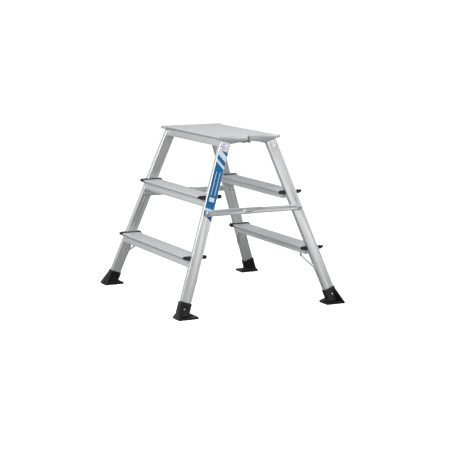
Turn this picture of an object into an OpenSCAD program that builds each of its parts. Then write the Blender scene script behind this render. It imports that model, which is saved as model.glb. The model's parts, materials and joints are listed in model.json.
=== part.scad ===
// Double-sided folding step: two riveted aluminium frames joined by a centre hinge.
// Origin on the floor at the centre. The left frame stands on -X, the right frame on +X.
// The near side faces -Y and the far side faces +Y.

/* [Overall] */
// Height of the platform above the floor
platform_h = 705; // [695:1:715]
// Lean of the stiles seen from the near side
leg_lean = 19.9; // [19.5:0.1:20.3]
// Sideways splay of the stiles
leg_splay = 9.3; // [9.1:0.1:9.5]
// Distance from the centre to a stile's outer edge at platform height
stile_top_x = 120.3; // [119.5:0.1:121]
// Distance from the centre to a stile's outer face at platform height
stile_top_y = 273.9; // [270:0.1:278]

/* [Stiles] */
// Width of a stile's broad face
stile_w = 45; // [44:0.5:46]
// Thickness of a stile
stile_t = 22; // [21:0.5:23]
// Wall of the stile tube
stile_wall = 1.8; // [1.5:0.1:2.2]
// Radius of the stile's long edges
stile_r = 2.2; // [1:0.1:3]

/* [Treads and platform] */
// Depth of a tread from nose to rear edge
tread_depth = 80; // [78:1:82]
// Height of a tread's front web
web_h = 41; // [38:1:43]
// Height of a tread's rear web
rear_h = 31; // [29:1:33]
// How far the nose stands in front of the web
nose_over = 10; // [9:0.5:11]
// How far the rear edge stands behind the rear web
rear_over = 9; // [8:0.5:11]
// How far the nose stands ahead of the stile's outer edge
nose_ahead = 21; // [19:0.5:22]
// Height of the nose bar
nose_h = 8; // [7:0.5:9]
// Height of the recess under the nose
groove_h = 8; // [6:0.5:9]
// Wall of the tread extrusion
skin = 2.2; // [2:0.1:2.6]
// Pitch of the anti-slip ribs
rib_pitch = 4; // [4:0.5:6]
// Height of the anti-slip ribs
rib_h = 1; // [0.6:0.1:1.4]
// Distance from the centre to the platform's nose
platform_nose_x = 130; // [129:0.5:132]

/* [Side plates] */
// Distance from the centre to a side plate's tip
cheek_tip_x = 144.4; // [143:0.1:146]
// Distance from the centre to a side plate's outer face
cheek_y = 277.3; // [276.5:0.1:279]
// Thickness of a side plate
cheek_t = 8; // [7.5:0.5:8.5]
// Half of the gap between the two side plates at the centre
cheek_gap = 5; // [4.8:0.1:6]

/* [Centre hinge] */
// Depth of the hinge axis under the platform's top
hinge_drop = 12; // [11.5:0.1:12.5]
// Radius of the hinge knuckles
knuckle_r = 7; // [6.5:0.1:7]
// Radius of the hinge pins
pin_r = 4; // [3.5:0.1:4]

/* [Tread end caps] */
// Thickness of a cap between the tread and the stile
cap_t = 3.5; // [3:0.1:4]
// How far a cap stands out ahead of the nose
cap_ahead = 10; // [9:0.5:11]
// How far a cap stands out behind the rear edge
cap_behind = 12.5; // [11:0.5:14]
// Height of a cap above the tread
cap_lip = 3.5; // [3:0.1:4.5]
// Depth of a cap below the top of the tread
cap_drop = 12.5; // [11:0.5:14]
// How far a cap's ends wrap around the stile
cap_wrap = 10; // [8:0.5:12]

/* [Feet] */
// Distance from the centre to the sole's inner edge along X
sole_x_in = 295.4; // [294:0.2:297]
// Distance from the centre to the sole's outer edge along X
sole_x_out = 381.2; // [380.4:0.2:382]
// Distance from the centre to the sole's inner edge along Y
sole_y_in = 355.6; // [354:0.2:357]
// Distance from the centre to the sole's outer edge along Y
sole_y_out = 423.4; // [422.6:0.2:424.2]
// Height of the sole's upright edge
sole_h = 9; // [7:0.5:10]
// Height at which the inner ramp of the sole meets the sleeve
ramp_h = 19; // [16:1:22]
// Height of the gusset on the foot's outer side
gusset_h = 62; // [56:1:64]
// Thickness of the gusset
gusset_t = 9; // [8:0.5:10]
// Wall of the foot's sleeve
foot_wall = 3.2; // [2.8:0.1:3.6]

/* [Spreaders] */
// Distance from the centre to the end pivots
link_end_x = 209; // [208:0.5:210]
// Height of the end pivots
link_z = 405; // [403:0.5:407]
// Place of the middle pivot
link_mid_x = -23; // [-25:1:-21]
// Place of the lock stud
lock_x = -43; // [-45:1:-41]
// Height of a link
link_h = 25; // [24:0.5:25]
// Thickness of a link
link_t = 2; // [1.8:0.1:2.2]
// End of the left link's stop flange
flange_end_x = 36; // [30:1:40]

/* [Braces] */
// Width of a brace strap
brace_w = 10; // [8:0.5:12]
// Thickness of a brace strap
brace_t = 2.5; // [2:0.1:2.6]

/* [Label] */
// Distance from the stile's top to the label's upper end
label_from = 54; // [52:1:60]
// Distance from the stile's top to the label's lower end
label_to = 345; // [340:1:350]
// Width of the label
label_w = 40; // [34:0.5:41]

/* [Hidden] */
$fn = 48;
LEFT = -1;
RIGHT = 1;
NEAR = -1;
FAR = 1;
ENDS = [NEAR, FAR];

// Angle between a stile and the slope of the side, within the side's tilted plane
side_lean = atan(tan(leg_lean) * cos(leg_splay));
// Step rise
rise = platform_h / 3;
TREAD_Z = [rise, 2 * rise];

// Stile ends, measured along the stile from the platform's height
stile_cut = -16;
stile_end = -726;
foot_top = -684;

// Grooves across the underside of a sole
SOLE_GROOVES = [306, 320, 352, 366];
groove_cut = 1.5;

// Free gap between pieces that only lie against each other
gap = 0.1;
running = 0.05;
big = 2000;

// Inner faces of the spreader links, and the nuts' inner ends
right_link_y = 326.3;
left_link_y = right_link_y + link_t + 0.4;
flange_t = 1.8;
nut_in_y = 293.4;

// Side plates: tongue inside the stile, ledge under the platform
tongue_t = 3;
ledge_t = 3.2;
ledge_w = 15;
LEDGE_X = [[17, 60], [66, 111]];

rivet_r = 2.4;
head_r = 4;
head_h = 1.5;
// How deep a foot screw's head sits under the sleeve's face
screw_sunk = 0.8;
stud_r = 4;
collar_r = 9;
bracket_t = 2;
web_rivet_drop = 23;

// Tread edges: outer and inner rounding of the hollow bars, and how far a bar reaches behind its web
edge_r = 2.4;
hollow_r = 0.8;
bar_back = 4;
rib_w = 2.2;
rib_root = 0.4;

hinge_z = platform_h - hinge_drop;
// Knuckle stretches along the pin: outer, middle and inner
KNUCKLES = [[268.6, 257], [256.7, 234.3], [234, 222]];
leaf_x = [8.6, 11];
leaf_high = 6.6;
leaf_low = 13;

// ---------- Placing ----------

// Every piece is drawn for the right frame's near side and mirrored to its own corner
module corner(side, end) {
    if (side == LEFT && end == FAR) mirror([1, 0, 0]) mirror([0, 1, 0]) children();
    else if (side == LEFT) mirror([1, 0, 0]) children();
    else if (end == FAR) mirror([0, 1, 0]) children();
    else children();
}

// Plane of the stiles' outer faces: x along X, y up the slope, z outwards
module side_plane() {
    translate([0, -stile_top_y, platform_h]) rotate([90 - leg_splay, 0, 0]) children();
}

// Frame of one stile: x = 0 on its outer edge, y up along it, z = 0 on its outer face
module stile_frame() {
    side_plane() translate([stile_top_x, 0, 0]) rotate([0, 0, side_lean]) children();
}

// Stile edge and face at height z
function stile_x(z) = stile_top_x + tan(leg_lean) * (platform_h - z);
function stile_inner_x(z) = stile_x(z) - stile_w / cos(side_lean);
function stile_y(z) = stile_top_y + tan(leg_splay) * (platform_h - z);

// Place along the slope of the point at height z, at distance w outside the stiles' outer faces
function slope_at(z, w) = (z - platform_h - w * sin(leg_splay)) / cos(leg_splay);

// Nose of the tread whose top is at height z
function tread_nose_x(z) = stile_x(z) + nose_ahead;

// Extrudes an XZ outline along Y between y0 and y1
module along_y(y0, y1) {
    translate([0, y1, 0]) rotate([90, 0, 0]) linear_extrude(y1 - y0) children();
}

// Rectangle with its four corners rounded
module round_rect(x0, x1, y0, y1, r) {
    translate([x0 + r, y0]) square([x1 - x0 - 2 * r, y1 - y0]);
    translate([x0, y0 + r]) square([x1 - x0, y1 - y0 - 2 * r]);
    for (x = [x0 + r, x1 - r]) {
        for (y = [y0 + r, y1 - r]) translate([x, y]) circle(r);
    }
}

// Rivet along +Z with its head on z = 0 and its tail at -grip
module rivet(r, head, grip) {
    cylinder(r1 = head, r2 = head * 0.62, h = head_h);
    translate([0, 0, -grip]) cylinder(r = r, h = grip);
    translate([0, 0, -grip - head_h]) cylinder(r = head * 0.8, h = head_h);
}

// ---------- Stiles ----------

module stile_block(extra, from, to) {
    translate([-stile_w - extra, from, -stile_t - extra])
        cube([stile_w + 2 * extra, to - from, stile_t + 2 * extra]);
}

RIVETS_XY = [[-36, -27], [-14, -26], [-6.5, -36], [-13.5, -46], [-36, -47]];
screw_at = [-20, -712];

module stile_section(w, t, r) {
    round_rect(-w, 0, -t, 0, r);
}

module stile(side, end) {
    color("silver") corner(side, end) difference() {
        stile_frame() translate([0, stile_cut, 0]) rotate([90, 0, 0]) linear_extrude(stile_cut - stile_end)
            difference() {
                stile_section(stile_w, stile_t, stile_r);
                translate([-stile_wall, -stile_wall])
                    stile_section(stile_w - 2 * stile_wall, stile_t - 2 * stile_wall, 0.6);
            }
        stile_frame() for (p = concat(RIVETS_XY, [screw_at])) translate([p[0], p[1], -stile_t / 2])
            cylinder(r = rivet_r + gap, h = stile_t);
        link_axis(link_end_x) cylinder(r = stud_r + gap, h = stile_t * 4, center = true);
        for (z = TREAD_Z) bracket_rivet_places(z) cylinder(r = rivet_r + gap, h = 20, center = true);
        brace_low_place() cylinder(r = rivet_r + gap, h = 12, center = true);
    }
}

// ---------- Side plates ----------

module side_plate(side, end) {
    color("lightgray") corner(side, end) difference() {
        union() {
            along_y(-cheek_y, cheek_t - cheek_y) polygon([
                [cheek_gap, platform_h - 21], [cheek_gap, platform_h - 1], [cheek_gap + 1, platform_h],
                [cheek_tip_x - 1, platform_h], [cheek_tip_x, platform_h - 1],
                [cheek_tip_x, platform_h - 11.5],
                [stile_top_x + 6.2, platform_h - 14.3], [stile_top_x - 39.3, platform_h - 30.3]
            ]);
            stile_frame() translate([1 - stile_w + stile_wall, -60, -stile_wall - gap - tongue_t])
                cube([stile_w - 2 - 2 * stile_wall, 54, tongue_t]);
            for (x = LEDGE_X)
                translate([x[0], cheek_t - cheek_y - 0.5, platform_h - rib_h - skin - gap - ledge_t])
                    cube([x[1] - x[0], ledge_w + 0.5, ledge_t]);
        }
        stile_frame() for (p = RIVETS_XY) translate([p[0], p[1], -stile_t / 2])
            cylinder(r = rivet_r + gap, h = stile_t);
    }
}

module top_rivets(side) {
    color("gray") for (end = ENDS) corner(side, end) stile_frame() for (p = RIVETS_XY)
        translate([p[0], p[1], 0]) rivet(rivet_r, head_r, stile_wall + gap + tongue_t);
}

// ---------- Treads and platform ----------

// Nose bar, recess and web, drawn with the nose tip at the origin and the top at y = 0
module front_edge(h) {
    web_x = -nose_over;
    difference() {
        round_rect(web_x - bar_back - skin, 0, -nose_h, 0, edge_r);
        round_rect(web_x - bar_back, -skin, -nose_h + skin, -skin, hollow_r);
    }
    translate([web_x - bar_back - skin, -nose_h - groove_h]) square([skin, groove_h + nose_h / 2]);
    translate([web_x - bar_back - skin, -nose_h - groove_h - skin]) square([bar_back + skin, skin]);
    translate([web_x - skin, -h]) square([skin, h - nose_h - groove_h]);
    translate([web_x - skin - 1.4, -h]) square([skin + 1.4, 2.4]);
}

module ribs(from, to) {
    for (x = [from : -rib_pitch : to]) translate([x - rib_w / 2, -rib_h - rib_root])
        square([rib_w, rib_h + rib_root]);
}

module tread_profile() {
    front_edge(web_h);
    translate([4 - tread_depth, -rib_h - skin]) square([tread_depth - nose_over - 6, skin]);
    ribs(-nose_over - 6, 10 - tread_depth);
    difference() {
        round_rect(-tread_depth, rear_over + skin - tread_depth, -nose_h, 0, edge_r);
        round_rect(skin - tread_depth, rear_over - tread_depth, skin - nose_h, -skin, hollow_r);
    }
    translate([rear_over - tread_depth, -rear_h]) square([skin, rear_h - 2 * skin]);
    translate([rear_over - tread_depth, -rear_h]) square([skin + 3, skin]);
}

// Everything between the two sides' inner faces, each moved in by inset
module between_sides(inset) {
    low = 0;
    high = platform_h + 10;
    y_low = stile_y(low) - (stile_t + inset) / cos(leg_splay);
    y_high = stile_y(high) - (stile_t + inset) / cos(leg_splay);
    translate([-big / 2, 0, 0]) rotate([90, 0, 90]) linear_extrude(big)
        polygon([[-y_low, low], [y_low, low], [y_high, high], [-y_high, high]]);
}

module web_rivet_places(z) {
    y = stile_y(z - web_rivet_drop) - (stile_t + cap_t) / cos(leg_splay) - 10;
    translate([tread_nose_x(z), -y, z - web_rivet_drop]) {
        translate([-nose_over, 0, 0]) rotate([0, 90, 0]) children();
        translate([rear_over - tread_depth, 0, 0]) rotate([0, -90, 0]) children();
    }
}

// Brackets are riveted to the stile's inner face; z points into the stile
module bracket_rivet_places(z) {
    x = (stile_x(z - web_rivet_drop) + stile_inner_x(z - web_rivet_drop)) / 2;
    for (dx = [-11, 11]) side_plane()
        translate([x + dx, slope_at(z - web_rivet_drop, -stile_t), -stile_t - cap_t - bracket_t])
            rotate([180, 0, 0]) children();
}

module tread(side, z) {
    color("gainsboro") corner(side, NEAR) difference() {
        intersection() {
            along_y(-big / 2, big / 2) translate([tread_nose_x(z), z]) tread_profile();
            between_sides(cap_t);
        }
        for (end = ENDS) corner(RIGHT, end) {
            web_rivet_places(z) cylinder(r = rivet_r + gap, h = 16, center = true);
            brace_high_place() cylinder(r = rivet_r + gap, h = 16, center = true);
        }
    }
}

// Between insets a and b from the sides' inner faces, on the near side only
module side_layer(a, b) {
    intersection() {
        difference() {
            between_sides(a);
            between_sides(b);
        }
        translate([0, -big / 2, 0]) cube([big, big / 2, platform_h]);
    }
}

// Bracket inside the end of a tread: a channel against the webs and a foot against the stile
module tread_bracket(z) {
    x0 = tread_nose_x(z) - tread_depth + rear_over + skin + gap;
    x1 = tread_nose_x(z) - nose_over - skin - gap;
    low = z - rear_h + skin + gap;
    shelf = z - nose_h - groove_h - skin - 1;
    difference() {
        union() {
            intersection() {
                along_y(-big / 4, 0) difference() {
                    translate([x0, low]) square([x1 - x0, shelf - low]);
                    translate([x0 + bracket_t, low - 1]) square([x1 - x0 - 2 * bracket_t, web_h]);
                }
                side_layer(cap_t, cap_t + 22);
            }
            intersection() {
                along_y(-big / 4, 0) {
                    translate([x0, low]) square([x1 - x0, shelf - low]);
                    translate([x0, low]) square([x1 - x0 - bar_back - 2 * gap, z - cap_drop - 1.5 - low]);
                }
                side_layer(gap / 2, cap_t + bracket_t);
            }
        }
        web_rivet_places(z) cylinder(r = rivet_r + gap, h = 16, center = true);
        bracket_rivet_places(z) cylinder(r = rivet_r + gap, h = 30, center = true);
    }
}

module tread_brackets(side) {
    color("darkgray") for (end = ENDS, z = TREAD_Z) corner(side, end) tread_bracket(z);
}

module tread_rivets(side) {
    color("gray") for (end = ENDS, z = TREAD_Z) corner(side, end) {
        web_rivet_places(z) rivet(rivet_r, head_r, skin + gap + bracket_t);
        bracket_rivet_places(z) rivet(rivet_r, head_r, stile_wall + cap_t + bracket_t);
    }
    color("gray") for (end = ENDS) corner(side, end) {
        brace_low_place() translate([0, 0, brace_t]) rivet(rivet_r, head_r, gap + stile_wall + brace_t);
        brace_high_place() translate([0, 0, brace_t]) rivet(rivet_r, head_r, gap + skin + brace_t);
    }
}

module platform_profile() {
    front_edge(web_h + 1);
    translate([-platform_nose_x + 0.25, -rib_h - skin]) square([platform_nose_x - nose_over - 3, skin]);
    translate([-platform_nose_x + 0.25, -4.3]) square([2.4, 4.3]);
    ribs(-nose_over - bar_back - skin, 6 - platform_nose_x);
    translate([leaf_x[1] + gap - platform_nose_x, -rear_h]) square([skin, rear_h - rib_h]);
    translate([62 - platform_nose_x, -18]) square([skin, 18 - rib_h]);
}

module platform(side) {
    color("gainsboro") corner(side, NEAR) difference() {
        along_y(gap + cheek_t - cheek_y, cheek_y - cheek_t - gap)
            translate([platform_nose_x, platform_h]) platform_profile();
        for (end = ENDS) corner(RIGHT, end) {
            stile_frame() stile_block(gap, -80, stile_cut + gap);
            leaf_rivet_places() cylinder(r = rivet_r + gap, h = 16, center = true);
        }
    }
}

// Screws up through the side plates' ledges; z points down
module ledge_rivet_places() {
    for (x = [30, 47, 79, 97])
        translate([x, cheek_t - cheek_y + ledge_w / 2, platform_h - rib_h - skin - gap - ledge_t])
            rotate([180, 0, 0]) children();
}

module platform_rivets(side) {
    color("gray") for (end = ENDS) corner(side, end) {
        ledge_rivet_places() {
            cylinder(r1 = head_r, r2 = head_r * 0.62, h = head_h);
            translate([0, 0, -ledge_t - gap - skin + 0.4])
                cylinder(r = rivet_r, h = ledge_t + gap + skin - 0.4);
        }
        leaf_rivet_places() rivet(rivet_r, head_r * 0.8, leaf_x[1] - leaf_x[0] + gap + skin);
    }
}

// ---------- Centre hinge ----------

module leaf_rivet_places() {
    for (y = [228, 262]) translate([leaf_x[0], -y, hinge_z - 9]) rotate([0, -90, 0]) children();
}

module hinge_leaf(stretches) {
    difference() {
        union() {
            for (s = stretches) {
                along_y(-s[0], -s[1]) translate([0, hinge_z]) circle(knuckle_r);
                along_y(-s[0], -s[1]) translate([0, hinge_z - 3]) square([leaf_x[1] - 1, 6]);
            }
            translate([leaf_x[0], -KNUCKLES[0][0], hinge_z - leaf_low])
                cube([leaf_x[1] - leaf_x[0], KNUCKLES[0][0] - KNUCKLES[2][1], leaf_low + leaf_high]);
        }
        along_y(-big / 4, 0) translate([0, hinge_z]) circle(pin_r + running);
        leaf_rivet_places() cylinder(r = rivet_r + gap, h = 16, center = true);
    }
}

module hinge_leaves(side) {
    color("dimgray") for (end = ENDS) corner(side, end)
        hinge_leaf(side == LEFT ? [KNUCKLES[0], KNUCKLES[2]] : [KNUCKLES[1]]);
}

module hinge_pins() {
    color("gray") for (end = ENDS) corner(LEFT, end)
        along_y(-KNUCKLES[0][0], -KNUCKLES[2][1]) translate([0, hinge_z]) circle(pin_r);
}

// ---------- Tread end caps ----------

// Round rear end, straight body and a nose that tapers forwards
module cap_outline(z) {
    mid = slope_at(z, -stile_t);
    front = tread_nose_x(z) + cap_ahead;
    rear = tread_nose_x(z) - tread_depth - cap_behind;
    end_r = (cap_lip + cap_drop) / 2;
    tip_r = 5.2;
    taper = 14;
    translate([rear + end_r, mid + cap_lip - end_r]) circle(end_r);
    translate([rear + end_r, mid - cap_drop]) square([front - taper - rear - end_r, cap_lip + cap_drop]);
    translate([front - tip_r, mid + cap_lip - 1.2 - tip_r]) circle(tip_r);
    polygon([
        [front - taper - 0.1, mid + cap_lip], [front - tip_r, mid + cap_lip - 1.2],
        [front - tip_r, mid + cap_lip - 1.2 - 2 * tip_r], [front - taper - 0.1, mid - cap_drop]
    ]);
}

module cap(side, end, z) {
    color("#1c1c1e") corner(side, end) {
        side_plane() translate([0, 0, gap / 2 - stile_t - cap_t]) linear_extrude(cap_t - gap) cap_outline(z);
        difference() {
            side_plane() translate([0, 0, -stile_t - gap]) linear_extrude(cap_wrap) cap_outline(z);
            stile_frame() stile_block(0.4, stile_end, stile_cut);
        }
    }
}

// ---------- Feet ----------

// Common part of an XZ outline and a YZ outline
module foot_body(xz, yz) {
    intersection() {
        along_y(-big / 2, 0) polygon(xz);
        rotate([90, 0, 90]) linear_extrude(big) polygon(yz);
    }
}

// How far the sole and the gusset run into the sleeve's wall, and the slab's step behind the gusset
bury = 1.5;
slab_step = 0.6;

// Places within the sleeve's outer edge and outer wall at height z
function sleeve_x(z) = stile_x(z) + foot_wall / cos(side_lean) - bury;
function sleeve_y(z) = stile_y(z) + foot_wall / cos(leg_splay) - bury;

// Sole slab with a ramp up to the sleeve on its inner side
module foot_sole() {
    foot_body([
        [sole_x_in, 0], [sole_x_out - slab_step, 0], [sleeve_x(ramp_h), ramp_h],
        [stile_inner_x(ramp_h) - foot_wall + bury, ramp_h],
        [sole_x_in + 1, sole_h], [sole_x_in, sole_h - 2]
    ], [
        [slab_step - sole_y_out, 0], [-sole_y_in, 0], [-sole_y_in, sole_h],
        [foot_wall + stile_t / cos(leg_splay) - bury - stile_y(ramp_h), ramp_h],
        [-sleeve_y(ramp_h), ramp_h], [-sleeve_y(sole_h), sole_h],
        [1 + slab_step - sole_y_out, sole_h], [slab_step - sole_y_out, sole_h - 2]
    ]);
}

module foot_gusset() {
    foot_body([
        [sole_x_out, 0], [sleeve_x(gusset_h), gusset_h],
        [sleeve_x(gusset_h) - gusset_t, gusset_h], [sole_x_out - gusset_t, 0]
    ], [
        [-sole_y_out, 0], [2 * bury - stile_y(0), 0], [2 * bury - stile_y(gusset_h), gusset_h],
        [-sleeve_y(gusset_h), gusset_h], [-sole_y_out, sole_h]
    ]);
}

module foot(side, end) {
    color("#1c1c1e") corner(side, end) difference() {
        union() {
            intersection() {
                stile_frame() translate([0, foot_top, 0]) rotate([90, 0, 0]) linear_extrude(120)
                    translate([foot_wall, foot_wall])
                        stile_section(stile_w + 2 * foot_wall, stile_t + 2 * foot_wall, stile_r + 1.4);
                translate([0, -big / 2, 0]) cube([big, big, platform_h]);
            }
            foot_sole();
            foot_gusset();
        }
        stile_frame() stile_block(gap, stile_end, 0);
        stile_frame() translate([screw_at[0], screw_at[1], 0]) {
            cylinder(r = rivet_r + gap, h = 60, center = true);
            translate([0, 0, foot_wall - screw_sunk]) cylinder(r = head_r + 1.4, h = 20);
        }
        for (x = SOLE_GROOVES) translate([x, -big / 2, -groove_cut])
            cube([groove_cut * 2, big, groove_cut * 2]);
    }
}

module foot_screws(side) {
    color("gray") for (end = ENDS) corner(side, end) stile_frame()
        translate([screw_at[0], screw_at[1], foot_wall - screw_sunk]) {
            translate([0, 0, -foot_wall - stile_wall - 3])
                cylinder(r = rivet_r, h = foot_wall + stile_wall + 3);
            difference() {
                cylinder(r1 = head_r + 0.6, r2 = head_r - 0.8, h = 2.2);
                for (a = [0, 90]) rotate([0, 0, a]) translate([-2.6, -0.5, 1.2]) cube([5.2, 1, 2]);
            }
        }
}

// ---------- Braces ----------

// Ends of a brace: on the stile's inner edge, and on the rear web of the lower tread
brace_low_z = 150;
brace_low_v = slope_at(brace_low_z, -stile_t / 2);
brace_low_y = stile_y(brace_low_z) - stile_t / 2 / cos(leg_splay);
brace_low_x = stile_inner_x(brace_low_z) - brace_t / 2;
brace_high_x = tread_nose_x(rise) - tread_depth + rear_over - gap - brace_t / 2;
brace_high_z = rise - rear_h - 7;
brace_run_y = 61;

module brace_low_place() {
    side_plane() translate([stile_inner_x(brace_low_z), brace_low_v, -stile_t / 2])
        rotate([0, 0, side_lean]) translate([-gap, -10, 0]) rotate([0, -90, 0]) children();
}

module brace_high_place() {
    translate([brace_high_x + brace_t / 2, brace_run_y - brace_low_y, brace_high_z + 15])
        rotate([0, -90, 0]) children();
}

// Flat strap with a riveted tab at each end
module brace(side, end) {
    dx = brace_high_x - brace_low_x;
    dz = brace_high_z - brace_low_z;
    run = norm([dx, brace_run_y]);
    color("darkgray") corner(side, end) difference() {
        union() {
            translate([brace_low_x, -brace_low_y, brace_low_z]) rotate([0, 0, atan2(brace_run_y, dx)])
                rotate([0, -atan2(dz, run), 0]) translate([0, -brace_t / 2, -brace_w / 2])
                    cube([norm([run, dz]), brace_t, brace_w]);
            brace_low_place() translate([3 - stile_t / 2, -8, 0]) cube([stile_t - 6, 26, brace_t]);
            brace_high_place() translate([-22, -7, 0]) cube([28, 14, brace_t]);
        }
        stile_frame() stile_block(gap, stile_end, stile_cut);
        brace_low_place() cylinder(r = rivet_r + gap, h = 30, center = true);
        brace_high_place() cylinder(r = rivet_r + gap, h = 30, center = true);
    }
}

// ---------- Spreaders ----------

// Axis along -Y through a link pivot, with z = 0 on the right link's inner face
module link_axis(x) {
    translate([x, -right_link_y, link_z]) rotate([90, 0, 0]) children();
}

module link_outline(x0, x1, r) {
    translate([x0, link_z]) circle(r);
    translate([x1, link_z]) circle(r);
    translate([x0, link_z - r]) square([x1 - x0, 2 * r]);
}

module link_bore(x, r) {
    link_axis(x) cylinder(r = r, h = 40, center = true);
}

// Outer link of a spreader; the flange along its top stops the inner link
module left_link(end) {
    flange_z = link_z + link_h / 2;
    flange_x = 9 - link_end_x;
    color("lightgray") corner(RIGHT, end) difference() {
        union() {
            along_y(-left_link_y - link_t, -left_link_y) {
                link_outline(-link_end_x, link_mid_x, link_h / 2);
                translate([flange_x, flange_z - 2.5]) square([flange_end_x - flange_x, 2.5 + flange_t]);
            }
            along_y(-left_link_y - link_t, -right_link_y) translate([flange_x, flange_z])
                square([flange_end_x - flange_x, flange_t]);
        }
        link_bore(-link_end_x, stud_r + running);
        link_bore(link_mid_x, stud_r + 0.02);
        link_bore(lock_x, stud_r + 0.02);
    }
}

module right_link(end) {
    color("silver") corner(RIGHT, end) difference() {
        along_y(-right_link_y - link_t, -right_link_y)
            link_outline(link_mid_x, link_end_x, link_h / 2 - 0.3);
        link_bore(link_mid_x, stud_r + running);
        link_bore(link_end_x, stud_r + 0.02);
    }
}

// The left links turn on bolts; the right links end on short studs under their own rivets
module link_studs(side) {
    reach = side == LEFT ? left_link_y + link_t + 0.1 - right_link_y : -0.15;
    color("gray") for (end = ENDS) corner(side, end) link_axis(link_end_x) {
        translate([0, 0, nut_in_y - 2 - right_link_y])
            cylinder(r = stud_r, h = reach + right_link_y + 2 - nut_in_y);
        if (side == LEFT) translate([0, 0, reach]) cylinder(r1 = 7, r2 = 5.4, h = 2.6);
    }
}

module link_nuts(side) {
    color("gray") for (end = ENDS) corner(side, end) link_axis(link_end_x)
        translate([0, 0, nut_in_y - right_link_y]) difference() {
            cylinder(r = 7.5, h = 5, $fn = 6);
            translate([0, 0, -1]) cylinder(r = stud_r + 0.02, h = 7);
        }
}

module link_bushes(side) {
    top = side == LEFT ? left_link_y - 0.1 - right_link_y : -0.15;
    color("dimgray") for (end = ENDS) corner(side, end) difference() {
        link_axis(link_end_x) translate([0, 0, -stile_t / 2]) cylinder(r = collar_r, h = top + stile_t / 2);
        stile_frame() stile_block(gap / 2, stile_end, stile_cut);
        link_axis(link_end_x) cylinder(r = stud_r + running, h = 60, center = true);
    }
}

module mid_rivet(end) {
    outer = left_link_y + link_t + 0.05 - right_link_y;
    color("dimgray") corner(RIGHT, end) link_axis(link_mid_x) {
        translate([0, 0, outer]) cylinder(r1 = 5.6, r2 = 4.2, h = 1.8);
        translate([0, 0, -1.5]) cylinder(r = stud_r, h = outer + 1.5);
        translate([0, 0, -1.7]) cylinder(r = 6.5, h = 1.6);
    }
}

module lock_stud(end) {
    color("whitesmoke") corner(RIGHT, end) link_axis(lock_x)
        translate([0, 0, left_link_y + link_t + 0.02 - right_link_y]) {
            cylinder(r = 8.5, h = 1.4);
            translate([0, 0, -link_t]) cylinder(r = stud_r, h = link_t);
            translate([0, 0, 1.4]) cylinder(r1 = 5, r2 = 3.4, h = 1);
        }
}

module end_rivet(end) {
    color("gray") corner(RIGHT, end) link_axis(link_end_x) {
        translate([0, 0, link_t + 0.02]) cylinder(r1 = 7, r2 = 5.4, h = 2.6);
        translate([0, 0, 0.1]) cylinder(r = stud_r, h = link_t);
    }
}

// ---------- Label ----------

module stile_label() {
    x0 = (label_w - stile_w) / 2 - label_w;
    label_slant = 24;
    color("steelblue") corner(LEFT, NEAR) difference() {
        stile_frame() translate([0, 0, 0.01]) linear_extrude(0.3) polygon([
            [x0, -label_from], [x0 + label_w, -label_from],
            [x0 + label_w, label_slant - label_to], [x0, -label_to]
        ]);
        link_axis(link_end_x) cylinder(r = collar_r + 0.3, h = 60, center = true);
    }
}

// ---------- Pieces ----------

stile(LEFT, NEAR);  // left_near_stile
stile(LEFT, FAR);  // left_far_stile
stile(RIGHT, NEAR);  // right_near_stile
stile(RIGHT, FAR);  // right_far_stile
side_plate(LEFT, NEAR);  // left_near_side_plate
side_plate(LEFT, FAR);  // left_far_side_plate
side_plate(RIGHT, NEAR);  // right_near_side_plate
side_plate(RIGHT, FAR);  // right_far_side_plate
platform(LEFT);  // left_platform
platform(RIGHT);  // right_platform
tread(LEFT, TREAD_Z[0]);  // left_lower_tread
tread(LEFT, TREAD_Z[1]);  // left_upper_tread
tread(RIGHT, TREAD_Z[0]);  // right_lower_tread
tread(RIGHT, TREAD_Z[1]);  // right_upper_tread
cap(LEFT, NEAR, TREAD_Z[0]);  // left_lower_near_cap
cap(LEFT, FAR, TREAD_Z[0]);  // left_lower_far_cap
cap(LEFT, NEAR, TREAD_Z[1]);  // left_upper_near_cap
cap(LEFT, FAR, TREAD_Z[1]);  // left_upper_far_cap
cap(RIGHT, NEAR, TREAD_Z[0]);  // right_lower_near_cap
cap(RIGHT, FAR, TREAD_Z[0]);  // right_lower_far_cap
cap(RIGHT, NEAR, TREAD_Z[1]);  // right_upper_near_cap
cap(RIGHT, FAR, TREAD_Z[1]);  // right_upper_far_cap
tread_brackets(LEFT);  // left_tread_brackets
tread_brackets(RIGHT);  // right_tread_brackets
tread_rivets(LEFT);  // left_tread_rivets
tread_rivets(RIGHT);  // right_tread_rivets
foot(LEFT, NEAR);  // left_near_foot
foot(LEFT, FAR);  // left_far_foot
foot(RIGHT, NEAR);  // right_near_foot
foot(RIGHT, FAR);  // right_far_foot
foot_screws(LEFT);  // left_foot_screws
foot_screws(RIGHT);  // right_foot_screws
brace(LEFT, NEAR);  // left_near_brace
brace(LEFT, FAR);  // left_far_brace
brace(RIGHT, NEAR);  // right_near_brace
brace(RIGHT, FAR);  // right_far_brace
top_rivets(LEFT);  // left_top_rivets
top_rivets(RIGHT);  // right_top_rivets
platform_rivets(LEFT);  // left_platform_rivets
platform_rivets(RIGHT);  // right_platform_rivets
hinge_leaves(LEFT);  // left_hinge_leaves
hinge_leaves(RIGHT);  // right_hinge_leaves
hinge_pins();
left_link(NEAR);  // near_left_link
right_link(NEAR);  // near_right_link
left_link(FAR);  // far_left_link
right_link(FAR);  // far_right_link
link_studs(LEFT);  // left_link_studs
link_studs(RIGHT);  // right_link_studs
link_nuts(LEFT);  // left_link_nuts
link_nuts(RIGHT);  // right_link_nuts
link_bushes(LEFT);  // left_link_bushes
link_bushes(RIGHT);  // right_link_bushes
mid_rivet(NEAR);  // near_mid_rivet
mid_rivet(FAR);  // far_mid_rivet
lock_stud(NEAR);  // near_lock_stud
lock_stud(FAR);  // far_lock_stud
end_rivet(NEAR);  // near_end_rivet
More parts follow.
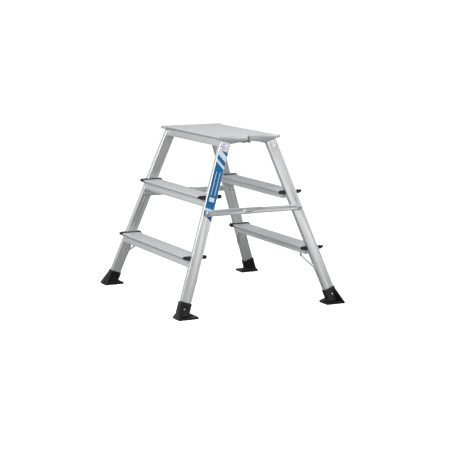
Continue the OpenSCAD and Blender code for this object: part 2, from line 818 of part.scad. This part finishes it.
end_rivet(FAR);  // far_end_rivet
stile_label();
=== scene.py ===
import json
import math

import bpy
from bpy.props import FloatProperty, FloatVectorProperty, IntProperty, PointerProperty
from bpy.types import Operator, Panel, PropertyGroup
from mathutils import Matrix, Vector

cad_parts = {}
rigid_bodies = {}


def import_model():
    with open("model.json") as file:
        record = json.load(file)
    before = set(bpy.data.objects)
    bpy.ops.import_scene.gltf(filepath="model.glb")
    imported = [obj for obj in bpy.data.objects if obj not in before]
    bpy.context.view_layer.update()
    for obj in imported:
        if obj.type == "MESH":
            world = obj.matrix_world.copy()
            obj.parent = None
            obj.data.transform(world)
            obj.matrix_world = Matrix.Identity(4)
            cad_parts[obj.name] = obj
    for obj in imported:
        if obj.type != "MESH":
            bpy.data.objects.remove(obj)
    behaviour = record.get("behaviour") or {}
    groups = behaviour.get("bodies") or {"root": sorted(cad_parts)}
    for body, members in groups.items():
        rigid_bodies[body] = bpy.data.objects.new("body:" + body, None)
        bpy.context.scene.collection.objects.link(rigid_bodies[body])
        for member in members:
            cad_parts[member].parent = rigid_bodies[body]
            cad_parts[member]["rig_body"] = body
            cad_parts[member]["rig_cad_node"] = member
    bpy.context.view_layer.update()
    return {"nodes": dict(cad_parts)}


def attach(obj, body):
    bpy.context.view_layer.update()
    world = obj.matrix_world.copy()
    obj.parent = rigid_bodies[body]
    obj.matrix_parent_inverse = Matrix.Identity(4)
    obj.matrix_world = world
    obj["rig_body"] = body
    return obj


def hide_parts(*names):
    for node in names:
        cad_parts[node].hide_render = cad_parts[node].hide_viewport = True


bl_info = {
    "name": "Double-sided folding step",
    "version": (1, 0, 0),
    "blender": (4, 5, 0),
    "location": "3D View > Sidebar > Step",
    "description": "Rounds the edges of a folding aluminium step, gives it its finishes and sets its stage",
    "category": "Object",
}

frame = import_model()

MM = 0.001
SIDES = ("left", "right")
ENDS = ("near", "far")
CORNERS = [(side, end) for side in SIDES for end in ENDS]
STEPS = ("lower", "upper")

# Widths of the label's blue bar, lines and square, and where they lie, as parts of its length and width
LABEL_SLANT = 0.085
LABEL_CORNER_END = 0.02
LABEL_BAR = (0.134, 0.032)
LABEL_FIELD = (0.208, 0.83)
LABEL_LINES = (0.30, 0.70)
LABEL_LINE_HALF = 0.035
LABEL_LINE_RUN = (0.30, 0.64)
LABEL_SQUARE = (0.70, 0.03)
LABEL_SQUARE_HALF = 0.28
LABEL_FOOT_START = 0.90

# Light from all round: height above the horizon, and how bright
SKY_STOPS = ((0.0, 1.35), (0.02, 1.35), (0.14, 1.15), (0.5, 0.8), (1.0, 0.7))
# Brightness of the background that the camera sees
BACKDROP = 1.8
# What the floor reflects onto the step, darker than the floor that the camera sees
FLOOR_BOUNCE = 0.26
# Name, place, size and power of each lamp, all aimed at LAMP_AIM
LAMPS = (
    ("key light", (-3.4, -1.4, 2.8), 2.6, 190.0),
    ("fill light", (3.2, -4.4, 1.6), 2.6, 26.0),
    ("top light", (0.2, 0.9, 4.2), 3.0, 25.0),
)
LAMP_AIM = (0, 0, 0.3)

# Directions of one stile, folded into the corner where X and Y are both positive
LEAN = math.radians(19.9)
SPLAY = math.radians(9.3)
STILE_DOWN = Vector((math.tan(LEAN), math.tan(SPLAY), -1)).normalized()
STILE_FACE = Vector((0, math.cos(SPLAY), math.sin(SPLAY)))
STILE_ACROSS = STILE_DOWN.cross(STILE_FACE).normalized()


# ---------- Finishes ----------

SOCKETS = {
    "base_color": "Base Color",
    "metallic": "Metallic",
    "roughness": "Roughness",
    "normal": "Normal",
    "specular_level": "Specular IOR Level",
    "emission_colour": "Emission Color",
    "emission_strength": "Emission Strength",
}

class Value:
    """A shader socket that takes part in plain arithmetic."""

    def __init__(self, finish, socket):
        self.finish = finish
        self.socket = socket

    def _math(self, operation, *values):
        return self.finish.node("ShaderNodeMath", {"operation": operation}, dict(enumerate(values)))

    def __add__(self, other):
        return self._math("ADD", self, other)

    def __radd__(self, other):
        return self._math("ADD", other, self)

    def __sub__(self, other):
        return self._math("SUBTRACT", self, other)

    def __rsub__(self, other):
        return self._math("SUBTRACT", other, self)

    def __mul__(self, other):
        return self._math("MULTIPLY", self, other)

    def __rmul__(self, other):
        return self._math("MULTIPLY", other, self)

    def __truediv__(self, other):
        return self._math("DIVIDE", self, other)

    def __gt__(self, other):
        return self._math("GREATER_THAN", self, other)

    def __lt__(self, other):
        return self._math("LESS_THAN", self, other)

    def size(self):
        """The value without its sign."""
        return self._math("ABSOLUTE", self)


class Finish:
    """One material and the nodes it is made from."""

    def __init__(self, name, **constants):
        self.material = bpy.data.materials.new(name)
        self.material.use_nodes = True
        self.tree = self.material.node_tree
        self.shader = next(n for n in self.tree.nodes if n.type == "BSDF_PRINCIPLED")
        for socket, value in constants.items():
            self.shader.inputs[SOCKETS[socket]].default_value = value

    def node(self, kind, settings, inputs, output=0):
        """Adds a node, sets it, joins or fills its sockets, and returns one output."""
        made = self.tree.nodes.new(kind)
        for key, value in settings.items():
            if key == "stops":
                ramp = made.color_ramp.elements
                while len(ramp) < len(value):
                    ramp.new(0.5)
                for stop, (place, colour) in zip(ramp, value):
                    stop.position = place
                    stop.color = colour
            else:
                setattr(made, key, value)
        for key, value in inputs.items():
            if isinstance(value, Value):
                self.tree.links.new(value.socket, made.inputs[key])
            else:
                made.inputs[key].default_value = value
        return Value(self, made.outputs[output])

    def place(self):
        """Where a point of the surface is, in metres."""
        return self.node("ShaderNodeTexCoord", {}, {}, "Object")

    def vector(self, operation, *values):
        output = "Value" if operation in ("DOT_PRODUCT", "LENGTH") else "Vector"
        return self.node("ShaderNodeVectorMath", {"operation": operation}, dict(enumerate(values)), output)

    def combine(self, x, y, z):
        return self.node("ShaderNodeCombineXYZ", {}, {0: x, 1: y, 2: z})

    def noise(self, vector, scale, detail=2.0, roughness=0.5):
        inputs = {"Vector": vector, "Scale": scale, "Detail": detail, "Roughness": roughness}
        return self.node("ShaderNodeTexNoise", {}, inputs, 0)

    def mix(self, factor, low, high):
        inputs = {"Factor": factor, "A": low, "B": high}
        made = self.tree.nodes.new("ShaderNodeMix")
        made.data_type = "RGBA"
        sockets = {"Factor": made.inputs[0], "A": made.inputs[6], "B": made.inputs[7]}
        for key, value in inputs.items():
            if isinstance(value, Value):
                self.tree.links.new(value.socket, sockets[key])
            else:
                sockets[key].default_value = value
        return Value(self, made.outputs[2])

    def bump(self, height, strength, distance):
        inputs = {"Height": height, "Strength": strength, "Distance": distance}
        return self.node("ShaderNodeBump", {}, inputs)

    def drive(self, **sockets):
        """Joins changing values to the shader."""
        for name, value in sockets.items():
            self.tree.links.new(value.socket, self.shader.inputs[SOCKETS[name]])
        return self.material


def shade(colour, factor):
    """A colour made lighter or darker, with full alpha."""
    return tuple(min(1.0, channel * factor) for channel in colour[:3]) + (1.0,)


def drawn_metal(name, colour, roughness, along, across, face, folded=False, depth=1.0, metallic=0.85):
    """Extruded metal: fine draw lines along its length, cloudy anodising and small scuffs."""
    finish = Finish(name, metallic=metallic, specular_level=0.5)
    place = finish.place()
    if folded:
        place = finish.vector("ABSOLUTE", place)
    run, width, height = (finish.vector("DOT_PRODUCT", place, tuple(v)) for v in (along, across, face))
    lines = finish.noise(finish.combine(width * 900.0, height * 900.0, run * 3.0), 1.0, 3.0, 0.6)
    broad = finish.noise(finish.combine(width * 110.0, height * 110.0, run * 2.0), 1.0, 2.0)
    cloud = finish.noise(place, 16.0, 3.0)
    scuffs = finish.node(
        "ShaderNodeValToRGB",
        {"stops": [(0.62, (0, 0, 0, 1)), (0.72, (1, 1, 1, 1))]},
        {0: finish.noise(place, 85.0, 4.0, 0.7)},
    )
    tone = finish.mix(lines, shade(colour, 0.90), shade(colour, 1.06))
    tone = finish.mix(cloud * 0.35, tone, shade(colour, 0.92))
    grain = roughness - 0.05 + 0.07 * lines + 0.06 * broad + 0.05 * cloud + 0.05 * scuffs
    bump = finish.bump(lines + broad * 0.6, 0.12 * depth, 0.0002)
    return finish.drive(base_color=tone, roughness=grain, normal=bump)


def zinc(name, colour):
    """Plated fastener: small bright crystals and faint turning marks."""
    finish = Finish(name, metallic=1.0)
    place = finish.place()
    crystals = finish.node("ShaderNodeTexVoronoi", {}, {"Vector": place, "Scale": 700.0}, "Color")
    grey = finish.vector("DOT_PRODUCT", crystals, (0.33, 0.33, 0.33))
    fine = finish.noise(place, 1600.0, 3.0)
    tone = finish.mix(grey, shade(colour, 0.82), shade(colour, 1.1))
    return finish.drive(
        base_color=tone, roughness=0.24 + 0.12 * fine + 0.06 * grey, normal=finish.bump(fine, 0.15, 0.0001)
    )


def moulded(name, colour, roughness, grain, rubbed):
    """Moulded plastic or rubber: spark-eroded grain, faint flow marks and paler rubbed spots."""
    finish = Finish(name, specular_level=0.35)
    place = finish.place()
    pits = finish.noise(place, grain, 4.0, 0.65)
    flow = finish.noise(place, 26.0, 2.0)
    dust = finish.node(
        "ShaderNodeValToRGB",
        {"stops": [(0.5, (0, 0, 0, 1)), (0.78, (1, 1, 1, 1))]},
        {0: finish.noise(place, 60.0, 5.0, 0.7)},
    )
    tone = finish.mix(flow, shade(colour, 0.8), shade(colour, 1.25))
    tone = finish.mix(dust * 0.25, tone, shade(rubbed, 1.0))
    return finish.drive(
        base_color=tone,
        roughness=roughness + 0.14 * pits - 0.07 + 0.08 * dust,
        normal=finish.bump(pits, 0.35, 0.0004),
    )


def printed_film(name, blue, white):
    """Label film: a blue corner and bar, then a long blue field with two plain lines and a pale square."""
    finish = Finish(name, specular_level=0.2)
    place = finish.place()
    down = Vector((-STILE_DOWN.x, -STILE_DOWN.y, STILE_DOWN.z))
    across = Vector((-STILE_ACROSS.x, -STILE_ACROSS.y, STILE_ACROSS.z))
    corners = [v.co for v in frame["nodes"]["stile_label"].data.vertices]
    runs = [down.dot(c) for c in corners]
    widths = [across.dot(c) for c in corners]
    length = max(runs) - min(runs)
    width = max(widths) - min(widths)
    run = (finish.vector("DOT_PRODUCT", place, tuple(down)) - min(runs)) / length
    side = (finish.vector("DOT_PRODUCT", place, tuple(across)) - min(widths)) / width
    slant = run + (side - 0.5) * LABEL_SLANT
    corner = slant < LABEL_CORNER_END
    bar = (slant - LABEL_BAR[0]).size() < LABEL_BAR[1]
    field = (slant > LABEL_FIELD[0]) * (run < LABEL_FIELD[1])
    line, second = (
        ((side - middle).size() < LABEL_LINE_HALF) * (run > LABEL_LINE_RUN[0]) * (run < LABEL_LINE_RUN[1])
        for middle in LABEL_LINES
    )
    square = ((run - LABEL_SQUARE[0]).size() < LABEL_SQUARE[1]) * ((side - 0.5).size() < LABEL_SQUARE_HALF)
    foot = slant > LABEL_FOOT_START
    ink = corner + bar + foot + field * (1 - line) * (1 - second) * (1 - square)
    fade = finish.noise(place, 40.0, 3.0)
    paper = finish.mix(fade, shade(white, 0.94), shade(white, 1.0))
    print_tone = finish.mix(fade, shade(blue, 0.92), shade(blue, 1.08))
    tone = finish.mix(ink, paper, print_tone)
    film = finish.noise(place, 500.0, 2.0)
    return finish.drive(
        base_color=tone, roughness=0.28 + 0.1 * film, normal=finish.bump(film + ink * 0.4, 0.06, 0.0001)
    )


def studio_floor(name, colour):
    """Pale matt floor with a trace of unevenness."""
    finish = Finish(name, specular_level=0.0, emission_strength=0.62)
    cloud = finish.noise(finish.place(), 0.6, 2.0)
    seen = finish.node("ShaderNodeLightPath", {}, {}, "Is Camera Ray")
    tone = finish.mix(cloud, shade(colour, 0.995), shade(colour, 1.0))
    tone = finish.mix(seen, (FLOOR_BOUNCE, FLOOR_BOUNCE, FLOOR_BOUNCE, 1.0), tone)
    glow = finish.mix(seen, (0.0, 0.0, 0.0, 1.0), (1.0, 1.0, 1.0, 1.0))
    return finish.drive(base_color=tone, emission_colour=glow, roughness=0.85 + 0.05 * cloud)


def finishes():
    """Every finish, made once and then looked up by name."""
    if "stile aluminium" not in bpy.data.materials:
        tones = bpy.context.scene.step_colours
        x, y, z = (Vector(v) for v in ((1, 0, 0), (0, 1, 0), (0, 0, 1)))
        drawn_metal(
            "stile aluminium", tones.aluminium, tones.aluminium_roughness,
            STILE_DOWN, STILE_ACROSS, STILE_FACE, folded=True,
        )
        drawn_metal("tread aluminium", tones.tread, tones.tread_roughness, y, x, z, depth=1.4, metallic=0.5)
        drawn_metal("link aluminium", tones.aluminium, tones.aluminium_roughness, x, z, y)
        drawn_metal("plate aluminium", tones.plate, tones.aluminium_roughness, x, z, y, depth=0.7)
        zinc("zinc plate", tones.zinc)
        moulded("black cap plastic", tones.black, 0.46, 900.0, (0.06, 0.06, 0.062))
        moulded("black foot rubber", tones.rubber, 0.40, 650.0, (0.012, 0.012, 0.012))
        moulded("grey stud plastic", tones.stud, 0.4, 900.0, (0.7, 0.7, 0.7))
        printed_film("label film", tones.label_blue, tones.label_white)
    return bpy.data.materials


# ---------- Shaping ----------


def clear_selection():
    """Nothing selected, nothing being edited."""
    if bpy.context.object and bpy.context.object.mode != "OBJECT":
        bpy.ops.object.mode_set(mode="OBJECT")
    bpy.ops.object.select_all(action="DESELECT")


def working_copy(node, name):
    """A merged copy of a CAD node, to be shaped as a piece of its own."""
    clear_selection()
    source = frame["nodes"][node]
    source.select_set(True)
    bpy.context.view_layer.objects.active = source
    bpy.ops.object.duplicate()
    piece = bpy.context.object
    piece.name = name
    piece.parent = None
    piece.matrix_world = Matrix.Identity(4)
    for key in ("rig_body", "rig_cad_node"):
        if key in piece:
            del piece[key]
    bpy.ops.object.mode_set(mode="EDIT")
    bpy.ops.mesh.select_all(action="SELECT")
    bpy.ops.mesh.remove_doubles(threshold=0.002 * MM)
    bpy.ops.mesh.dissolve_limited(angle_limit=math.radians(0.6))
    bpy.ops.object.mode_set(mode="OBJECT")
    bpy.ops.mesh.customdata_custom_splitnormals_clear()
    return piece


def round_edges(piece, radius, segments, angle=28.0):
    """Breaks the sharp edges, as a file or a mould would."""
    clear_selection()
    piece.select_set(True)
    bpy.context.view_layer.objects.active = piece
    bevel = piece.modifiers.new("round edges", "BEVEL")
    bevel.width = radius
    bevel.segments = segments
    bevel.limit_method = "ANGLE"
    bevel.angle_limit = math.radians(angle)
    bevel.use_clamp_overlap = True
    bevel.miter_outer = "MITER_ARC"
    bpy.ops.object.modifier_apply(modifier=bevel.name)
    bpy.ops.object.shade_smooth_by_angle(angle=math.radians(35.0))
    return piece


def finish_piece(piece, node, body, material):
    """Gives a piece its finish and its body, and hides the CAD node that it stands for."""
    piece.data.materials.clear()
    piece.data.materials.append(material)
    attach(piece, body)
    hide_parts(node)
    return piece


def body_of_node(node):
    return frame["nodes"][node]["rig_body"]


def rounded_piece(node, radius, segments, material):
    """The rounded stand-in for one CAD node."""
    piece = round_edges(working_copy(node, node + "_finished"), radius, segments)
    return finish_piece(piece, node, body_of_node(node), finishes()[material])


def dress_node(node, material):
    """A CAD node whose shape is already right gets its finish."""
    mesh = frame["nodes"][node].data
    mesh.materials.clear()
    mesh.materials.append(finishes()[material])


# ---------- Sizes and colours ----------


class StepSizes(PropertyGroup):
    """Edge radii of the step's pieces"""

    metal_edge: FloatProperty(
        name="Metal edge", description="Radius of cut and bent metal edges", default=0.35 * MM, unit="LENGTH"
    )
    tread_edge: FloatProperty(
        name="Tread edge", description="Radius of the edges of the ribs", default=0.25 * MM, unit="LENGTH"
    )
    cap_edge: FloatProperty(
        name="Cap edge", description="Radius of a cap's moulded edges", default=1.1 * MM, unit="LENGTH"
    )
    foot_edge: FloatProperty(
        name="Foot edge", description="Radius of a foot's moulded edges", default=0.9 * MM, unit="LENGTH"
    )
    rivet_edge: FloatProperty(
        name="Rivet edge", description="Radius of a rivet head's edge", default=0.5 * MM, unit="LENGTH"
    )
    segments: IntProperty(name="Segments", description="Steps round an edge", default=3, min=1, max=6)


def colour_field(name, description, value):
    return FloatVectorProperty(
        name=name, description=description, default=value, subtype="COLOR", size=3, min=0.0, max=1.0
    )


class StepColours(PropertyGroup):
    """Colours and roughness of the finishes"""

    aluminium: colour_field("Aluminium", "Stiles and links", (0.76, 0.77, 0.78))
    tread: colour_field("Tread", "Treads and platform", (0.64, 0.65, 0.66))
    plate: colour_field("Side plate", "Side plates", (0.74, 0.75, 0.76))
    zinc: colour_field("Zinc", "Rivets, bolts, nuts and hinges", (0.60, 0.61, 0.62))
    black: colour_field("Cap", "Tread end caps", (0.010, 0.010, 0.011))
    rubber: colour_field("Foot", "Feet", (0.002, 0.002, 0.0022))
    stud: colour_field("Stud", "Lock studs", (0.62, 0.63, 0.64))
    label_blue: colour_field("Label blue", "Printed fields of the label", (0.003, 0.14, 0.34))
    label_white: colour_field("Label white", "Ground of the label", (0.66, 0.80, 0.90))
    floor: colour_field("Floor", "Studio floor", (0.96, 0.96, 0.96))
    aluminium_roughness: FloatProperty(
        name="Aluminium roughness", description="Satin of stiles, plates and links",
        default=0.40, min=0, max=1,
    )
    tread_roughness: FloatProperty(
        name="Tread roughness", description="Satin of treads and platform", default=0.46, min=0, max=1
    )


class StepStage(PropertyGroup):
    """Floor, lights and camera"""

    camera_place: FloatVectorProperty(
        name="Camera", description="Where the camera stands",
        default=(-2.70686, -5.51175, 1.29671), unit="LENGTH",
    )
    camera_turn: FloatProperty(
        name="Turn", description="Heading of the camera, clockwise from +Y",
        default=0.4667756, unit="ROTATION",
    )
    camera_tilt: FloatProperty(
        name="Tilt", description="Pitch of the camera", default=-0.1683552, unit="ROTATION"
    )
    camera_roll: FloatProperty(
        name="Roll", description="Roll of the camera", default=0.0025691, unit="ROTATION"
    )
    lens: FloatProperty(name="Lens", description="Focal length in millimetres", default=111.21)
    shift: FloatProperty(name="Shift", description="Sideways shift of the lens", default=0.0035)
    floor_reach: FloatProperty(
        name="Floor", description="Radius of the floor", default=400.0, unit="LENGTH"
    )
    sky: FloatProperty(name="Sky", description="Strength of the light from all round", default=0.6)


# ---------- Pieces ----------


class StileOperator(Operator):
    """Rounds the four stiles and gives them their drawn finish"""

    bl_idname = "step.stiles"
    bl_label = "Stiles"

    def execute(self, context):
        sizes = context.scene.step_sizes
        for side, end in CORNERS:
            rounded_piece(f"{side}_{end}_stile", sizes.metal_edge, sizes.segments - 1, "stile aluminium")
        return {"FINISHED"}


class SidePlateOperator(Operator):
    """Rounds the side plates under the platform's ends"""

    bl_idname = "step.side_plates"
    bl_label = "Side plates"

    def execute(self, context):
        sizes = context.scene.step_sizes
        for side, end in CORNERS:
            rounded_piece(f"{side}_{end}_side_plate", sizes.metal_edge, sizes.segments - 1, "plate aluminium")
        return {"FINISHED"}


class TreadOperator(Operator):
    """Breaks the edges of the ribbed treads and of the two platform halves"""

    bl_idname = "step.treads"
    bl_label = "Treads and platform"

    def execute(self, context):
        sizes = context.scene.step_sizes
        nodes = [f"{side}_{step}_tread" for side in SIDES for step in STEPS]
        nodes += [f"{side}_platform" for side in SIDES]
        for node in nodes:
            rounded_piece(node, sizes.tread_edge, 2, "tread aluminium")
        return {"FINISHED"}


class CapOperator(Operator):
    """Shapes the moulded caps at the treads' ends"""

    bl_idname = "step.caps"
    bl_label = "Tread end caps"

    def execute(self, context):
        sizes = context.scene.step_sizes
        for step in STEPS:
            for side, end in CORNERS:
                rounded_piece(f"{side}_{step}_{end}_cap", sizes.cap_edge, sizes.segments, "black cap plastic")
        return {"FINISHED"}


class FootOperator(Operator):
    """Shapes the moulded feet"""

    bl_idname = "step.feet"
    bl_label = "Feet"

    def execute(self, context):
        sizes = context.scene.step_sizes
        for side, end in CORNERS:
            rounded_piece(f"{side}_{end}_foot", sizes.foot_edge, sizes.segments, "black foot rubber")
        return {"FINISHED"}


class BraceOperator(Operator):
    """Rounds the braces under the lower treads and the brackets inside the treads"""

    bl_idname = "step.braces"
    bl_label = "Braces and brackets"

    def execute(self, context):
        sizes = context.scene.step_sizes
        for side, end in CORNERS:
            rounded_piece(f"{side}_{end}_brace", sizes.metal_edge, sizes.segments - 1, "link aluminium")
        for side in SIDES:
            rounded_piece(f"{side}_tread_brackets", sizes.metal_edge, sizes.segments - 1, "plate aluminium")
        return {"FINISHED"}


class SpreaderOperator(Operator):
    """Rounds the folding links and their studs, bolts and bushes"""

    bl_idname = "step.spreaders"
    bl_label = "Spreaders"

    def execute(self, context):
        sizes = context.scene.step_sizes
        for side, end in CORNERS:
            rounded_piece(f"{end}_{side}_link", sizes.metal_edge, sizes.segments - 1, "link aluminium")
        for end in ENDS:
            rounded_piece(f"{end}_mid_rivet", sizes.rivet_edge, sizes.segments, "zinc plate")
            rounded_piece(f"{end}_end_rivet", sizes.rivet_edge, sizes.segments, "zinc plate")
            rounded_piece(f"{end}_lock_stud", sizes.rivet_edge, sizes.segments, "grey stud plastic")
        for side in SIDES:
            rounded_piece(f"{side}_link_studs", sizes.rivet_edge, sizes.segments, "zinc plate")
            rounded_piece(f"{side}_link_nuts", sizes.metal_edge, sizes.segments, "zinc plate")
            rounded_piece(f"{side}_link_bushes", sizes.metal_edge, sizes.segments, "black cap plastic")
        return {"FINISHED"}


class FastenerOperator(Operator):
    """Domes the rivets and screws and finishes the centre hinge"""

    bl_idname = "step.fasteners"
    bl_label = "Rivets, screws and hinges"

    def execute(self, context):
        sizes = context.scene.step_sizes
        for side in SIDES:
            for kind in ("tread_rivets", "top_rivets", "platform_rivets", "foot_screws"):
                rounded_piece(f"{side}_{kind}", sizes.rivet_edge, sizes.segments, "zinc plate")
            rounded_piece(f"{side}_hinge_leaves", sizes.metal_edge, sizes.segments - 1, "zinc plate")
        dress_node("hinge_pins", "zinc plate")
        return {"FINISHED"}


class LabelOperator(Operator):
    """Prints the label on the left frame's near stile"""

    bl_idname = "step.label"
    bl_label = "Label"

    def execute(self, context):
        dress_node("stile_label", "label film")
        return {"FINISHED"}


class StageOperator(Operator):
    """Lays the floor, hangs the lights and places the camera"""

    bl_idname = "step.stage"
    bl_label = "Stage"

    def execute(self, context):
        stage = context.scene.step_stage
        clear_selection()
        bpy.ops.mesh.primitive_circle_add(
            vertices=64, radius=stage.floor_reach, fill_type="NGON", location=(0, 0, -0.02 * MM)
        )
        floor = context.object
        floor.name = "floor"
        floor.data.materials.append(studio_floor("studio floor", context.scene.step_colours.floor))
        world = bpy.data.worlds.new("studio")
        world.use_nodes = True
        context.scene.world = world
        sky = world.node_tree.nodes["Background"]
        sky.inputs["Strength"].default_value = stage.sky
        nodes, links = world.node_tree.nodes, world.node_tree.links
        direction = nodes.new("ShaderNodeTexCoord")
        split = nodes.new("ShaderNodeSeparateXYZ")
        ramp = nodes.new("ShaderNodeValToRGB")
        stops = ramp.color_ramp.elements
        for place, _ in SKY_STOPS[1:-1]:
            stops.new(place)
        for stop, (_, grey) in zip(stops, SKY_STOPS):
            stop.color = (grey, grey, grey, 1.0)
        links.new(direction.outputs["Generated"], split.inputs[0])
        links.new(split.outputs["Z"], ramp.inputs[0])
        seen = nodes.new("ShaderNodeLightPath")
        backdrop = nodes.new("ShaderNodeMix")
        backdrop.data_type = "RGBA"
        backdrop.inputs[7].default_value = (BACKDROP, BACKDROP, BACKDROP, 1.0)
        links.new(seen.outputs["Is Camera Ray"], backdrop.inputs[0])
        links.new(ramp.outputs[0], backdrop.inputs[6])
        links.new(backdrop.outputs[2], sky.inputs["Color"])
        for name, place, size, power in LAMPS:
            bpy.ops.object.light_add(type="AREA", location=place)
            lamp = context.object
            lamp.name = name
            lamp.data.shape = "DISK"
            lamp.data.size = size
            lamp.data.energy = power
            aim = Vector(LAMP_AIM) - Vector(place)
            lamp.rotation_euler = aim.to_track_quat("-Z", "Y").to_euler()
        turn, tilt, roll = stage.camera_turn, stage.camera_tilt, stage.camera_roll
        ahead = Vector((math.sin(turn) * math.cos(tilt), math.cos(turn) * math.cos(tilt), math.sin(tilt)))
        right = Vector((math.cos(turn), -math.sin(turn), 0))
        up = right.cross(ahead)
        level_right = right * math.cos(roll) + up * math.sin(roll)
        level_up = up * math.cos(roll) - right * math.sin(roll)
        bpy.ops.object.camera_add(location=stage.camera_place)
        camera = context.object
        turned = Matrix((level_right, level_up, -ahead)).transposed()
        camera.rotation_euler = turned.to_euler()
        camera.data.lens = stage.lens
        camera.data.sensor_width = 36.0
        camera.data.shift_x = stage.shift
        camera.data.clip_end = 1000.0
        context.scene.camera = camera
        context.scene.view_settings.view_transform = "Standard"
        return {"FINISHED"}


class StepPanel(Panel):
    """Lists the step's sizes, colours and pieces"""

    bl_idname = "VIEW3D_PT_step"
    bl_label = "Folding step"
    bl_space_type = "VIEW_3D"
    bl_region_type = "UI"
    bl_category = "Step"

    def draw(self, context):
        for group in (context.scene.step_sizes, context.scene.step_colours, context.scene.step_stage):
            box = self.layout.box()
            for name in group.__annotations__:
                box.prop(group, name)
        for operator in OPERATORS:
            self.layout.operator(operator.bl_idname)


OPERATORS = (
    StileOperator,
    SidePlateOperator,
    TreadOperator,
    CapOperator,
    FootOperator,
    BraceOperator,
    SpreaderOperator,
    FastenerOperator,
    LabelOperator,
    StageOperator,
)
GROUPS = {"step_sizes": StepSizes, "step_colours": StepColours, "step_stage": StepStage}


def register():
    for group in GROUPS.values():
        bpy.utils.register_class(group)
    for name, group in GROUPS.items():
        setattr(bpy.types.Scene, name, PointerProperty(type=group))
    for operator in OPERATORS:
        bpy.utils.register_class(operator)
    bpy.utils.register_class(StepPanel)


def unregister():
    bpy.utils.unregister_class(StepPanel)
    for operator in reversed(OPERATORS):
        bpy.utils.unregister_class(operator)
    for name in GROUPS:
        delattr(bpy.types.Scene, name)
    for group in reversed(list(GROUPS.values())):
        bpy.utils.unregister_class(group)


def main():
    """Makes every piece and the stage."""
    register()
    for operator in OPERATORS:
        space, name = operator.bl_idname.split(".")
        if getattr(getattr(bpy.ops, space), name)() != {"FINISHED"}:
            raise RuntimeError(f"{operator.bl_label} wasn't finished")


if __name__ == "__main__":
    main()
